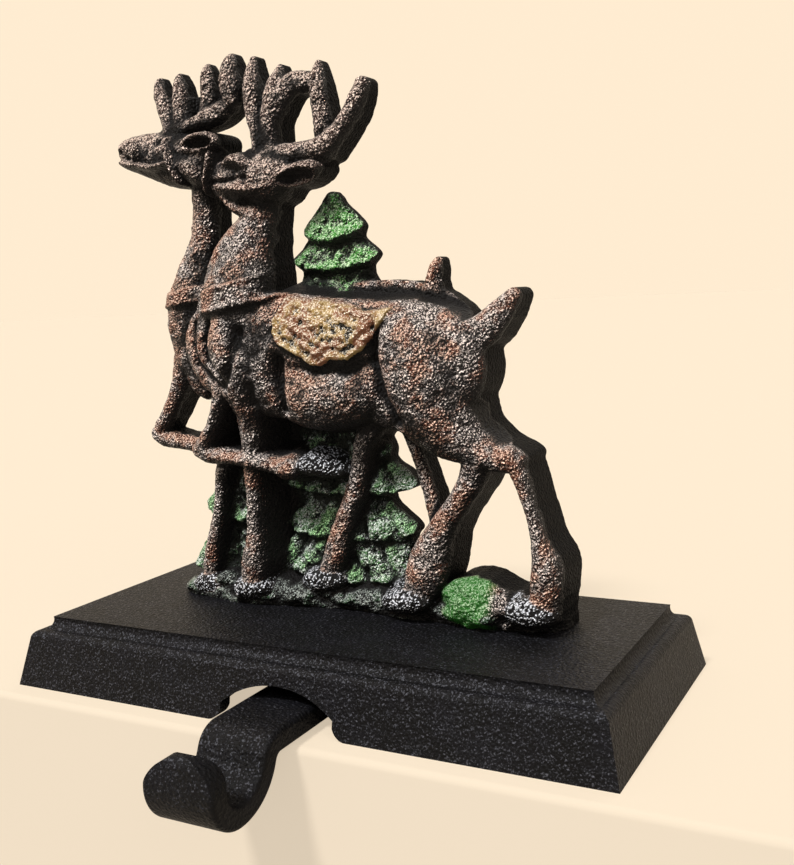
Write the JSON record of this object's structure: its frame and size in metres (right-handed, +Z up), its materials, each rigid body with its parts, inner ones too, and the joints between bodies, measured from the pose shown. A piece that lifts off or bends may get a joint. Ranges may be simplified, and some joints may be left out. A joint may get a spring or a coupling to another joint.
{
  "type": "mantel stocking holder",
  "caption": "Weighted cast iron shelf stand with a relief of two deer and trees on a moulded plinth, and a hook below its front edge for hanging a stocking.",
  "frame": {"origin": "centre of the plinth's rectangular footprint, in the plane where it stands on the shelf", "axes": "+X along the shelf with the deer facing -X, +Y towards the wall, +Z up; the hook hangs forward and down, towards -Y"},
  "size_m": [0.146, 0.1011, 0.1481],
  "materials": {
    "plinth_iron": "satin black enamel over sand-cast grain",
    "hook_iron": "satin black enamel over sand-cast grain",
    "figure_bronze": "black enamel dry-brushed with bronze, green and gold",
    "screw_steel": "plain zinc"
  },
  "bodies": {
    "root": {"plinth": "plinth_iron", "hook": "hook_iron", "figure": "figure_bronze", "figure_screws": "screw_steel", "hook_screws": "screw_steel"}
  },
  "joints": []
}
